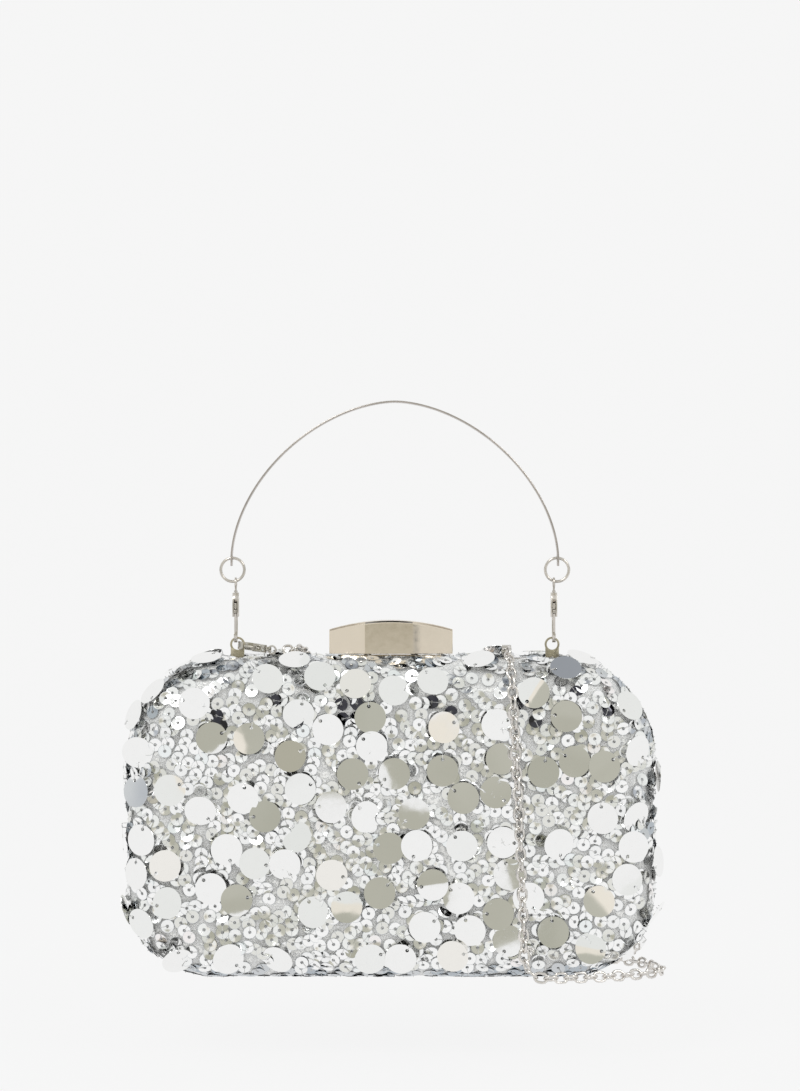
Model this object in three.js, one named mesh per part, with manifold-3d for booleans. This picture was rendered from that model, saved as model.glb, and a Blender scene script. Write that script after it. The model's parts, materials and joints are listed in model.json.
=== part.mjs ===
// Evening bag: a hard box clutch in two moulded halves, hinged along the bottom and latched by a
// press bar on top, with an arched metal handle on swivel clips and a detachable chain strap.
// Millimetres, +Z up, +X to the wearer's right seen from the front, -Y to the front.
// The origin is on the floor under the middle of the case, in the plane where the halves meet.

import * as THREE from 'three';
import { mergeVertices } from 'three/addons/utils/BufferGeometryUtils.js';
import Module from 'manifold-3d';

const wasm = await Module();
wasm.setup();

// ---- driving dimensions ----
const CASE_WIDTH = 176.5;
const CASE_HEIGHT = 107;
const HALF_DEPTH = 23; // from the seam plane to the middle of each face
const TOP_CORNER = 33;
const BOTTOM_CORNER = 29;
const CORNER_STEPS = 6;
const EDGE_STEPS = 3;
const SIDE_WALL = 10; // the flat side wall of each half, before the edge rounds over
const EDGE_RADIUS = 13;
const FACE_DOME = 0.8; // how far the face swells between its rounded edges
const CLEARANCE = 0.3; // between neighbouring pieces
const SEAM_GAP = 0.4; // from the seam plane to each frame

const COVER = 0.8; // sequinned mesh on its backing
const SHELL = 1.5; // moulded half case
const LINING = 0.6;
const FRAME_LIP = 0.8;
const FRAME_LIP_DEPTH = 3.0;
const FRAME_WEB = 1.5;
const FRAME_REACH = 5.3; // how far the frame's web reaches inward from the outer face

const HINGE_HEIGHT = 1.3; // axis of the bottom hinges, in the seam plane
const HINGE_X = 38;
const HINGE_LENGTH = 24;
const KNUCKLE_RADIUS = 1.25;
const KNUCKLE_BORE = 0.75;
const HINGE_PIN_RADIUS = 0.5;

const HANDLE_SIDE = 1.3; // the tabs and handle stand this far to the right of the case's middle
const TAB_X = 53.5;
const TAB_HOLE_HEIGHT = 111.4;
const TAB_HOLE = 1.85;
const TAB_RING = 2.55;
const TAB_WIDTH = 4.6;
const TAB_THICK = 0.7;
const HANDLE_Y = 0.85; // plane of the tabs, rings and handle, just behind the seam

const CLIP_PIVOT = TAB_HOLE_HEIGHT + (TAB_HOLE + TAB_RING) / 2; // middle of the tab's rim
const RING_X = 55.2;
const RING_RADIUS = 4.0;
const RING_WIRE = 0.5;
const RING_PIVOT = 132.75;
const HANDLE_PIVOT = RING_PIVOT + 2 * RING_RADIUS;
const HANDLE_HALF_WIDTH = 55.5;
const HANDLE_RISE = 53.5;
const HANDLE_FULLNESS = 1.77; // 2 would be half an ellipse; less is slimmer at the shoulders
const HANDLE_THICK = 0.65;
const HANDLE_BREADTH = 4.6;
const HANDLE_END = 2.7; // how far the band runs on below its hole
const HANDLE_HOLE = 1.15;

const KNOB_HALF_LENGTH = 20.9;
const KNOB_HALF_FACET = 8.15;
const KNOB_HALF_DEPTH = 6;
const KNOB_END_DEPTH = 3;
const KNOB_BOTTOM = 109.1;
const KNOB_END_TOP = 116.6;
const KNOB_TOP = 119.7;
const POST_X = 8;

const CHAIN_RADIUS = 1.7;
const STRAP_CLIP_LEFT = [HANDLE_SIDE - 52.8, HANDLE_Y, 111.1]; // heel of the claw hooked in the left tab
const STRAP_CLIP_SLOPE = -8; // degrees, from level
const STRAP_CLIP_RIM = [39, -0.9, 110.3]; // heel of the claw resting on the front rim
const HANK_CENTRE = [8, 46];
const HANK_STRAIGHT = 40;
const HANK_RADIUS = 16.6;
const HANK_BOTTOM = 0.8;
const HANK_TOP = 8;

// ---- materials ----
function finish(color, roughness, metalness) {
  return new THREE.MeshStandardMaterial({ color, roughness, metalness });
}

const SILVER = finish(0xc9c7c0, 0.25, 1);
const CHAMPAGNE = finish(0xd2c8b8, 0.18, 1);
const STEEL = finish(0x9a9a98, 0.4, 1);
const SEQUIN_FABRIC = finish(0xd6d7d6, 0.35, 0.4);
const RESIN = finish(0xb9b9b6, 0.6, 0);
const SATIN = finish(0xc4c5c8, 0.55, 0);
const TIE_THREAD = finish(0xe8e6e0, 0.8, 0);

// ---- solids ----
function solidOf(geometry) {
  const bare = geometry.clone();
  bare.deleteAttribute('normal');
  bare.deleteAttribute('uv');
  const merged = mergeVertices(bare, 1e-4);
  const vertProperties = new Float32Array(merged.attributes.position.array);
  const triVerts = new Uint32Array(merged.index.array);
  return new wasm.Manifold(new wasm.Mesh({ numProp: 3, vertProperties, triVerts }));
}

function geometryOf(solid) {
  const mesh = solid.getMesh();
  const geometry = new THREE.BufferGeometry();
  geometry.setAttribute('position', new THREE.BufferAttribute(mesh.vertProperties, 3));
  geometry.setIndex(new THREE.BufferAttribute(mesh.triVerts, 1));
  geometry.computeVertexNormals();
  return geometry;
}

function combine(first, added = [], removed = []) {
  let solid = solidOf(first);
  for (const geometry of added) solid = solid.add(solidOf(geometry));
  for (const geometry of removed) solid = solid.subtract(solidOf(geometry));
  return geometryOf(solid);
}

function box([x0, x1], [y0, y1], [z0, z1]) {
  const geometry = new THREE.BoxGeometry(x1 - x0, y1 - y0, z1 - z0);
  return geometry.translate((x0 + x1) / 2, (y0 + y1) / 2, (z0 + z1) / 2);
}

// A bar of round section along X, from x0 to x1.
function barX(radius, [x0, x1], y, z, sides = 12) {
  const geometry = new THREE.CylinderGeometry(radius, radius, x1 - x0, sides).rotateZ(Math.PI / 2);
  return geometry.translate((x0 + x1) / 2, y, z);
}

function barY(radius, [y0, y1], x, z, sides = 12) {
  return new THREE.CylinderGeometry(radius, radius, y1 - y0, sides).translate(x, (y0 + y1) / 2, z);
}

function extrude(shape, depth) {
  return new THREE.ExtrudeGeometry(shape, { depth, bevelEnabled: false, curveSegments: 7 });
}

// A shape drawn in X and Z, made solid from y0 to y1.
function slabXZ(shape, [y0, y1]) {
  return extrude(shape, y1 - y0).rotateX(Math.PI / 2).translate(0, y1, 0);
}

// A shape drawn in Y and Z, made solid across X about x = 0.
function slabYZ(shape, thickness) {
  const turn = new THREE.Matrix4().makeBasis(
    new THREE.Vector3(0, 1, 0), new THREE.Vector3(0, 0, 1), new THREE.Vector3(1, 0, 0));
  return extrude(shape, thickness).translate(0, 0, -thickness / 2).applyMatrix4(turn);
}

function polygon(points) {
  return new THREE.Shape(points.map(([u, v]) => new THREE.Vector2(u, v)));
}

function ellipse(u, v, radiusU, radiusV, steps = 20) {
  const curve = new THREE.EllipseCurve(u, v, radiusU, radiusV, 0, 2 * Math.PI);
  return new THREE.Shape(curve.getPoints(steps).slice(0, steps));
}

const bag = new THREE.Group();

function add(name, geometry, material, parent = bag) {
  const mesh = new THREE.Mesh(geometry, material);
  mesh.name = name;
  parent.add(mesh);
}

// ---- the two halves: nested skins on one rounded outline ----
// The case outline seen from the front, moved inward by inset, as [x, z] points.
function caseOutline(inset) {
  const points = [];
  const corner = (x, z, radius, start) => {
    for (let i = 0; i <= CORNER_STEPS; i++) {
      const angle = start + (Math.PI / 2) * (i / CORNER_STEPS);
      points.push([x + (radius - inset) * Math.cos(angle), z + (radius - inset) * Math.sin(angle)]);
    }
  };
  const topX = CASE_WIDTH / 2 - TOP_CORNER;
  const bottomX = CASE_WIDTH / 2 - BOTTOM_CORNER;
  corner(topX, CASE_HEIGHT - TOP_CORNER, TOP_CORNER, 0);
  corner(-topX, CASE_HEIGHT - TOP_CORNER, TOP_CORNER, Math.PI / 2);
  corner(-bottomX, BOTTOM_CORNER, BOTTOM_CORNER, Math.PI);
  corner(bottomX, BOTTOM_CORNER, BOTTOM_CORNER, 1.5 * Math.PI);
  return points;
}

// Rings of a half's surface, sunk by inset all over, from its open edge to the middle of its face.
function halfRings(inset, edgeY) {
  const rings = [{ inset, y: edgeY, shrink: 0 }];
  const roundY = HALF_DEPTH - FACE_DOME - SIDE_WALL - inset;
  for (let i = 0; i <= EDGE_STEPS; i++) {
    const angle = (Math.PI / 2) * (i / EDGE_STEPS);
    const ringInset = EDGE_RADIUS - (EDGE_RADIUS - inset) * Math.cos(angle);
    rings.push({ inset: ringInset, y: SIDE_WALL + roundY * Math.sin(angle), shrink: 0 });
  }
  rings.push({ inset: EDGE_RADIUS, y: HALF_DEPTH - 0.3 * FACE_DOME - inset, shrink: 0.45 });
  rings.push({ inset: EDGE_RADIUS, y: HALF_DEPTH - inset, shrink: 1 });
  return rings;
}

function ringPoints({ inset, y, shrink }, side) {
  const middle = CASE_HEIGHT / 2;
  const place = ([x, z]) => [x * (1 - shrink), side * y, middle + (z - middle) * (1 - shrink)];
  return caseOutline(inset).map(place);
}

// Joins rings of points in order; an end ring shrunk to a point closes that end, and a loft with
// closed = true joins its last ring to its first.
function loft(rings, side, closed) {
  const loops = rings.map((ring) => ringPoints(ring, side));
  const positions = [];
  const quad = (a, b, c, d) => positions.push(...a, ...b, ...c, ...a, ...c, ...d);
  const count = loops[0].length;
  const pairs = closed ? loops.length : loops.length - 1;
  for (let k = 0; k < pairs; k++) {
    const here = loops[k];
    const next = loops[(k + 1) % loops.length];
    for (let i = 0; i < count; i++) {
      const j = (i + 1) % count;
      if (rings[k].shrink === 1) positions.push(...here[i], ...next[j], ...next[i]);
      else if (rings[(k + 1) % rings.length].shrink === 1) positions.push(...here[i], ...here[j], ...next[i]);
      else quad(here[i], here[j], next[j], next[i]);
    }
  }
  const geometry = new THREE.BufferGeometry();
  geometry.setAttribute('position', new THREE.Float32BufferAttribute(positions, 3));
  return faceOutward(geometry);
}

function faceOutward(geometry) {
  const merged = mergeVertices(geometry, 1e-4);
  const index = merged.index.array;
  const corners = [new THREE.Vector3(), new THREE.Vector3(), new THREE.Vector3()];
  let volume = 0;
  for (let i = 0; i < index.length; i += 3) {
    corners.forEach((corner, k) => corner.fromBufferAttribute(merged.attributes.position, index[i + k]));
    volume += corners[0].dot(corners[1].clone().cross(corners[2]));
  }
  if (volume < 0) for (let i = 0; i < index.length; i += 3) [index[i], index[i + 1]] = [index[i + 1], index[i]];
  return merged;
}

function skin(outer, thickness, edgeY, side) {
  const inside = halfRings(outer + thickness, edgeY).reverse();
  return loft([...inside, ...halfRings(outer, edgeY)], side, false);
}

// The frame: a lip over the fabric's edge and a web turned inward along the seam.
function frameRing(side) {
  const lipEnd = SEAM_GAP + FRAME_LIP_DEPTH;
  const webEnd = SEAM_GAP + FRAME_WEB;
  const section = [[0, SEAM_GAP], [FRAME_REACH, SEAM_GAP], [FRAME_REACH, webEnd],
    [FRAME_LIP, webEnd], [FRAME_LIP, lipEnd], [0, lipEnd]];
  return loft(section.map(([inset, y]) => ({ inset, y, shrink: 0 })), side, true);
}

function sided(side, [low, high]) {
  return side > 0 ? [low, high] : [-high, -low];
}

// Room in the frame for the hinge barrels along the bottom, and a seat for each hinge leaf.
function hingeCuts(side) {
  const webEnd = SEAM_GAP + FRAME_WEB + 0.1;
  const cuts = [box([-69, 69], sided(side, [-1, webEnd]), [-1, 3])];
  for (const x of [-HINGE_X, HINGE_X]) {
    const reach = HINGE_LENGTH / 2 + 0.6;
    cuts.push(box([x - reach, x + reach], sided(side, [-1, 1.35]), [2.9, 6]));
  }
  return cuts;
}

const coverEdge = SEAM_GAP + FRAME_LIP_DEPTH + CLEARANCE;
const shellEdge = SEAM_GAP + FRAME_WEB + CLEARANCE;
const shellInset = COVER + CLEARANCE;
const liningInset = shellInset + SHELL + CLEARANCE;
const postSlot = box([-10, 10], [3.7, 5.9], [95, 120]);
const tabSeats = [HANDLE_SIDE - TAB_X, HANDLE_SIDE + TAB_X].map(
  (x) => box([x - 2.6, x + 2.6], [-1, HANDLE_Y + 0.65], [103.2, 120]));

function half(name, side, frameCuts, skinCuts) {
  add(`${name}_frame`, combine(frameRing(side), [], [...hingeCuts(side), ...frameCuts]), SILVER);
  add(`${name}_cover`, combine(skin(0, COVER, coverEdge, side), [], skinCuts), SEQUIN_FABRIC);
  add(`${name}_shell`, combine(skin(shellInset, SHELL, shellEdge, side), [], skinCuts), RESIN);
  add(`${name}_lining`, combine(skin(liningInset, LINING, shellEdge, side), [], skinCuts), SATIN);
}

// ---- hinges ----
// One leaf: knuckles on the hinge axis, fingers up from them, and a plate seated in the frame.
function hingeLeaf(x, side, knuckles) {
  const plateY = sided(side, [0.42, 1.02]);
  const plate = box([x - HINGE_LENGTH / 2, x + HINGE_LENGTH / 2], plateY, [2.9, 5.2]);
  const added = [];
  const bores = [];
  for (const [low, high] of knuckles) {
    const span = [x + low, x + high];
    added.push(barX(KNUCKLE_RADIUS, span, 0, HINGE_HEIGHT), box(span, plateY, [HINGE_HEIGHT + 0.2, 3]));
    bores.push(barX(KNUCKLE_BORE, [span[0] - 1, span[1] + 1], 0, HINGE_HEIGHT));
  }
  return combine(plate, added, bores);
}

function hinge(name, x) {
  const end = HINGE_LENGTH / 2;
  add(`back_leaf_${name}`, hingeLeaf(x, 1, [[-end, -4.2], [4.2, end]]), STEEL);
  add(`front_leaf_${name}`, hingeLeaf(x, -1, [[-3.9, 3.9]]), STEEL);
  add(`hinge_pin_${name}`, barX(HINGE_PIN_RADIUS, [x - end - 0.5, x + end + 0.5], 0, HINGE_HEIGHT), STEEL);
}

// ---- press clasp ----
function claspKnob() {
  const front = new THREE.Shape();
  const bulge = KNOB_TOP - KNOB_END_TOP;
  front.moveTo(-KNOB_HALF_LENGTH, KNOB_BOTTOM);
  front.lineTo(KNOB_HALF_LENGTH, KNOB_BOTTOM);
  front.lineTo(KNOB_HALF_LENGTH, KNOB_END_TOP);
  front.quadraticCurveTo(0, KNOB_END_TOP + 2 * bulge, -KNOB_HALF_LENGTH, KNOB_END_TOP);
  const plan = polygon([
    [-KNOB_HALF_FACET, -KNOB_HALF_DEPTH], [KNOB_HALF_FACET, -KNOB_HALF_DEPTH],
    [KNOB_HALF_LENGTH, -KNOB_END_DEPTH], [KNOB_HALF_LENGTH, KNOB_END_DEPTH],
    [KNOB_HALF_FACET, KNOB_HALF_DEPTH], [-KNOB_HALF_FACET, KNOB_HALF_DEPTH],
    [-KNOB_HALF_LENGTH, KNOB_END_DEPTH], [-KNOB_HALF_LENGTH, -KNOB_END_DEPTH]]);
  const side = polygon([
    [-KNOB_HALF_DEPTH, KNOB_BOTTOM - 1], [KNOB_HALF_DEPTH, KNOB_BOTTOM - 1],
    [KNOB_HALF_DEPTH, KNOB_TOP - 0.9], [KNOB_HALF_DEPTH - 1, KNOB_TOP + 0.1],
    [1 - KNOB_HALF_DEPTH, KNOB_TOP + 0.1], [-KNOB_HALF_DEPTH, KNOB_TOP - 0.9]]);
  const body = solidOf(slabXZ(front, [-KNOB_HALF_DEPTH - 1, KNOB_HALF_DEPTH + 1]));
  const planSolid = solidOf(extrude(plan, 20).translate(0, 0, KNOB_BOTTOM - 2));
  return geometryOf(body.intersect(planSolid).intersect(solidOf(slabYZ(side, 60))));
}

// Two posts hang from the knob to a crossbar, whose arm reaches through the strike's window.
function claspStem() {
  const posts = [-POST_X, POST_X].map((x) => box([x - 1.2, x + 1.2], [4, 5.4], [98.9, KNOB_BOTTOM - CLEARANCE]));
  const arm = box([-2.5, 2.5], [-4.4, 4.2], [98.9, 99.9]);
  const tooth = box([-2.5, 2.5], [-4.4, -3.5], [99.5, 101]);
  return combine(box([-POST_X - 1.2, POST_X + 1.2], [4, 5.4], [98.9, 100.4]), [...posts, arm, tooth]);
}

class Helix extends THREE.Curve {
  constructor(radius, low, high, turns) {
    super();
    Object.assign(this, { radius, low, high, turns });
  }

  getPoint(t) {
    const angle = 2 * Math.PI * this.turns * t;
    const z = this.low + (this.high - this.low) * t;
    return new THREE.Vector3(this.radius * Math.cos(angle), 4.7 + this.radius * Math.sin(angle), z);
  }
}

function circleSection(radius, sides) {
  return ellipse(0, 0, radius, radius, sides);
}

function tube(curve, radius, steps, sides) {
  return new THREE.ExtrudeGeometry(circleSection(radius, sides), { extrudePath: curve, steps });
}

function rivet(x, z, headY, tipY) {
  const inward = Math.sign(tipY - headY);
  const span = (a, b) => [Math.min(a, b), Math.max(a, b)];
  const head = barY(1.1, span(headY, headY + 0.5 * inward), x, z);
  return combine(head, [barY(0.55, span(headY + 0.4 * inward, tipY), x, z)]);
}

function clasp() {
  const baseSlot = box([-9.7, 9.7], [3.7, 5.7], [100, 120]);
  add('clasp_base', combine(box([-17, 17], [0.7, 7.2], [107.3, 107.8]), [], [baseSlot]), CHAMPAGNE);
  add('clasp_knob', claspKnob(), CHAMPAGNE);
  add('clasp_stem', claspStem(), STEEL);
  add('clasp_spring', tube(new Helix(1.2, 93.8, 98.3, 4), 0.3, 36, 6), STEEL);
  const housing = box([-12.2, 12.2], [2.2, 8.4], [92.6, 103.1]);
  const holes = [-6, 6].map((x) => barY(0.8, [6, 10], x, 97));
  add('clasp_housing', combine(housing, [], [box([-11.4, 11.4], [1, 7.6], [93.4, 110]), ...holes]), STEEL);
  const strikeHoles = [-5.2, 5.2].map((x) => barY(0.8, [-4, -1], x, 102.4));
  const window = box([-3.1, 3.1], [-4, -1], [97.3, 101.3]);
  add('strike_plate', combine(box([-7, 7], [-3, -2.2], [95.5, 103.2]), [], [window, ...strikeHoles]), STEEL);
  [-1, 1].forEach((side) => {
    const name = side < 0 ? 'left' : 'right';
    add(`strike_rivet_${name}`, rivet(side * 5.2, 102.4, -3.8, -0.9), STEEL);
    add(`housing_rivet_${name}`, rivet(side * 6, 97, 6.8, 9.4), STEEL);
  });
}

// ---- tabs, rings and handle ----
function tab(name, x) {
  const outline = ellipse(x, TAB_HOLE_HEIGHT, TAB_RING, TAB_RING, 20);
  const thickness = [HANDLE_Y - TAB_THICK / 2, HANDLE_Y + TAB_THICK / 2];
  const stem = box([x - TAB_WIDTH / 2, x + TAB_WIDTH / 2], thickness, [103.5, TAB_HOLE_HEIGHT - 1.1]);
  const hole = barY(TAB_HOLE, [-2, 4], x, TAB_HOLE_HEIGHT, 20);
  add(`tab_${name}`, combine(slabXZ(outline, thickness), [stem], [hole]), SILVER);
}

function ring(name, x) {
  const geometry = new THREE.TorusGeometry(RING_RADIUS, RING_WIRE, 8, 22).rotateX(Math.PI / 2);
  add(`ring_${name}`, geometry.translate(x, HANDLE_Y, RING_PIVOT + RING_RADIUS), SILVER);
}

// The arch is a slim half ellipse of flat band, with short straight ends punched for the rings.
function handleBand() {
  const end = HANDLE_HALF_WIDTH + HANDLE_THICK / 2;
  const arch = (inset) => Array.from({ length: 37 }, (_, i) => {
    const angle = (Math.PI * i) / 36;
    const across = Math.abs(Math.cos(angle)) ** (2 / HANDLE_FULLNESS) * Math.sign(36 / 2 - i);
    const up = Math.sin(angle) ** (2 / HANDLE_FULLNESS);
    return new THREE.Vector2(HANDLE_SIDE + (end - inset) * across, HANDLE_PIVOT + (HANDLE_RISE - inset) * up);
  });
  const low = HANDLE_PIVOT - HANDLE_END;
  const foot = (x) => new THREE.Vector2(HANDLE_SIDE + x, low);
  const outer = [foot(end), ...arch(0), foot(-end)];
  const inner = [foot(HANDLE_THICK - end), ...arch(HANDLE_THICK).reverse(), foot(end - HANDLE_THICK)];
  const breadth = [HANDLE_Y - HANDLE_BREADTH / 2, HANDLE_Y + HANDLE_BREADTH / 2];
  const holes = [HANDLE_SIDE - HANDLE_HALF_WIDTH, HANDLE_SIDE + HANDLE_HALF_WIDTH].map(
    (x) => barX(HANDLE_HOLE, [x - 2, x + 2], HANDLE_Y, HANDLE_PIVOT));
  add('handle_band', combine(slabXZ(new THREE.Shape([...outer, ...inner]), breadth), [], holes), SILVER);
}

// ---- swivel clip, drawn about its hook's centre with the eye upward ----
// The hook is a bent flat wire from the body's back, round under the tab's rim, to an open tip.
function hookShape() {
  const shape = new THREE.Shape();
  shape.moveTo(2.4, 9);
  shape.quadraticCurveTo(2.9, 4.5, 1.6, 0);
  shape.absarc(0, 0, 1.6, 0, Math.PI, true);
  shape.lineTo(-1.75, 1.5);
  shape.lineTo(-1, 1.5);
  shape.lineTo(-0.8, 0);
  shape.absarc(0, 0, 0.8, Math.PI, 0, false);
  shape.quadraticCurveTo(1.9, 4.5, 1.2, 9);
  return shape;
}

function clipBody() {
  const shape = new THREE.Shape();
  shape.moveTo(-2.2, 7.2);
  shape.lineTo(2.3, 7.2);
  shape.quadraticCurveTo(3, 12, 1.3, 14.6);
  shape.lineTo(1.3, 15.4);
  shape.lineTo(-1.3, 15.4);
  shape.lineTo(-1.3, 14.6);
  shape.quadraticCurveTo(-2.6, 12, -2.2, 7.2);
  const leverSlot = box([-0.55, 0.55], [-4, 1.1], [6, 13]);
  const swivelBore = box([-0.65, 0.65], [-0.65, 0.65], [12.5, 17]);
  const pinBore = barX(0.5, [-2, 2], -1, 10.8, 10);
  return combine(slabYZ(shape, 2.1), [slabYZ(hookShape(), 1.15)], [leverSlot, swivelBore, pinBore]);
}

function clipLever() {
  const blade = polygon([[-2.15, 1.9], [-1.35, 1.9], [-0.35, 9.8], [-0.1, 11.6], [-1.9, 11.8], [-1.9, 10],
    [-3.3, 9.4], [-3.4, 8.6], [-2.3, 8.2]]);
  return combine(slabYZ(blade, 0.8), [], [barX(0.5, [-2, 2], -1, 10.8, 10)]);
}

function swivelEye() {
  const eye = new THREE.TorusGeometry(1.55, 0.4, 6, 16).rotateY(Math.PI / 2).translate(0, 0, 18.7);
  const neck = new THREE.CylinderGeometry(0.35, 0.35, 3.7, 10).rotateX(Math.PI / 2).translate(0, 0, 15.4);
  const foot = new THREE.CylinderGeometry(0.5, 0.5, 0.3, 10).rotateX(Math.PI / 2).translate(0, 0, 13.7);
  return combine(eye, [neck, foot]);
}

function handleClip(name, x) {
  const clip = new THREE.Group();
  clip.position.set(x, HANDLE_Y, CLIP_PIVOT);
  add(`clip_body_${name}`, clipBody(), SILVER, clip);
  add(`clip_lever_${name}`, clipLever(), SILVER, clip);
  add(`clip_pin_${name}`, barX(0.3, [-1, 1], -1, 10.8, 8), STEEL, clip);
  add(`swivel_eye_${name}`, swivelEye(), SILVER, clip);
  bag.add(clip);
}

// ---- chain strap ----
// A small claw clasp along +Z with its heel at the origin: body, thumb lever and end ring.
function strapClip(name, group) {
  const gate = [box([-2, 2], [-4, -1], [1.2, 4.6]), box([-0.55, 0.55], [-4, -1], [1.2, 7.4])];
  const opening = slabYZ(ellipse(-0.1, 3.7, 1.5, 3), 4);
  const lug = slabYZ(ellipse(0, 9.7, 1.2, 1.2, 14), 1);
  const lugHole = barX(0.65, [-2, 2], 0, 9.8, 10);
  add(`strap_clip_${name}`,
    combine(slabYZ(ellipse(0, 4.4, 2.6, 5, 24), 1.8), [lug], [opening, lugHole, ...gate]), SILVER, group);
  const blade = polygon([[-2.1, 1.5], [-1.4, 1.5], [-1.2, 6.9], [-2, 6.9], [-2.2, 5.6], [-3, 5.2], [-2.9, 4.4]]);
  add(`strap_lever_${name}`, slabYZ(blade, 0.5), SILVER, group);
  const loop = new THREE.TorusGeometry(1.3, 0.35, 6, 14).rotateX(Math.PI / 2);
  add(`strap_ring_${name}`, loop.translate(0, 0, 11.1), SILVER, group);
  bag.add(group);
}

function strapClips() {
  const left = new THREE.Group();
  left.position.set(...STRAP_CLIP_LEFT);
  left.rotation.y = Math.PI / 2 - THREE.MathUtils.degToRad(STRAP_CLIP_SLOPE);
  strapClip('left', left);
  const rim = new THREE.Group();
  rim.position.set(...STRAP_CLIP_RIM);
  rim.rotation.x = Math.PI / 2;
  strapClip('rim', rim);
}

function cord(name, points) {
  const curve = new THREE.CatmullRomCurve3(points.map((point) => new THREE.Vector3(...point)), false, 'centripetal');
  const steps = Math.max(6, Math.round(curve.getLength() / (4.6 * CHAIN_RADIUS)));
  add(name, tube(curve, CHAIN_RADIUS, steps, 8), SILVER);
}

// Over the back's top edge, down its face and along the floor to the hank.
const BACK_ROUTE = [
  [-36.3, 1.2, 109.3], [-33.7, 3.4, 109.4], [-31.5, 7, 109.3], [-30.2, 11.5, 109], [-29.5, 17.6, 107],
  [-29.2, 22.8, 101.6], [-28.9, 25.2, 94], [-28.6, 25.3, 80], [-28.2, 25.3, 60], [-27.9, 25.3, 40],
  [-27.7, 25.3, 20], [-27.7, 25.7, 11], [-26.8, 26.9, 5], [-24, 29.1, 2.9], [-20.8, 30.4, 2.6]];
// From the hank round behind the case's lower corner to the hinge line.
const TAIL_ROUTE = [
  [37.6, 31, 5.4], [42, 30.7, 4.2], [49, 30, 2.4], [56, 28.9, 1.9], [64, 26.6, 1.9], [72, 22.8, 1.9],
  [79, 17.5, 1.9], [84.3, 11.6, 1.9], [87.6, 6.2, 1.9], [88.9, 1, 1.9]];
// From the claw on the front rim, down the face, and along the floor to the hinge line.
const FRONT_ROUTE = [
  [39.1, -14, 110], [39.4, -17.2, 108.4], [39.8, -21, 105.2], [40.2, -24, 100.4], [40.5, -25.3, 94],
  [41.2, -25.3, 80], [42, -25.3, 64], [42.8, -25.3, 48], [43.5, -25.3, 32], [44, -25.4, 16],
  [44.3, -25.8, 8], [45.8, -26.5, 3.6], [49, -26.9, 2], [56, -26.4, 1.9], [65, -24.6, 1.9],
  [74, -21.6, 1.9], [83, -17.4, 1.9], [89.2, -12.4, 1.9], [91.3, -7.6, 1.9], [90.7, -3.8, 1.9],
  [89, -1, 1.9]];

function hank() {
  const [x, y] = HANK_CENTRE;
  const outline = new THREE.Shape();
  outline.absarc(x + HANK_STRAIGHT / 2, y, HANK_RADIUS, -Math.PI / 2, Math.PI / 2, false);
  outline.absarc(x - HANK_STRAIGHT / 2, y, HANK_RADIUS, Math.PI / 2, 1.5 * Math.PI, false);
  const waist = box([x - 2.4, x + 2.4], [y + 8, y + 30], [0, 20]);
  const bundle = box([x - 3, x + 3], [y + 9, y + HANK_RADIUS - 0.8], [HANK_BOTTOM + 0.6, HANK_TOP - 0.6]);
  const slab = extrude(outline, HANK_TOP - HANK_BOTTOM).translate(0, 0, HANK_BOTTOM);
  add('chain_hank', geometryOf(solidOf(slab).subtract(solidOf(waist)).add(solidOf(bundle))), SILVER);
  const band = box([x - 2, x + 2], [y + 8.4, y + HANK_RADIUS + 0.2], [0.3, HANK_TOP + 0.5]);
  const inside = box([x - 4, x + 4], [y + 8.7, y + HANK_RADIUS - 0.5], [HANK_BOTTOM + 0.3, HANK_TOP - 0.3]);
  add('hank_tie', combine(band, [], [inside]), TIE_THREAD);
}

// ---- assembly ----
const strikeBores = [-5.2, 5.2].map((x) => barY(0.8, [-4, 0], x, 102.4));
half('back', 1, tabSeats, [postSlot]);
half('front', -1, strikeBores, []);
hinge('left', -HINGE_X);
hinge('right', HINGE_X);
clasp();
tab('left', HANDLE_SIDE - TAB_X);
tab('right', HANDLE_SIDE + TAB_X);
ring('left', HANDLE_SIDE - RING_X);
ring('right', HANDLE_SIDE + RING_X);
handleBand();
handleClip('left', HANDLE_SIDE - TAB_X - 0.6);
handleClip('right', HANDLE_SIDE + TAB_X + 0.6);
strapClips();
cord('chain_back', BACK_ROUTE);
cord('chain_tail', TAIL_ROUTE);
cord('chain_front', FRONT_ROUTE);
hank();

export default bag;
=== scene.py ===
"""Evening bag in silver sequins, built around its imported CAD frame. Blender 4.5."""

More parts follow.
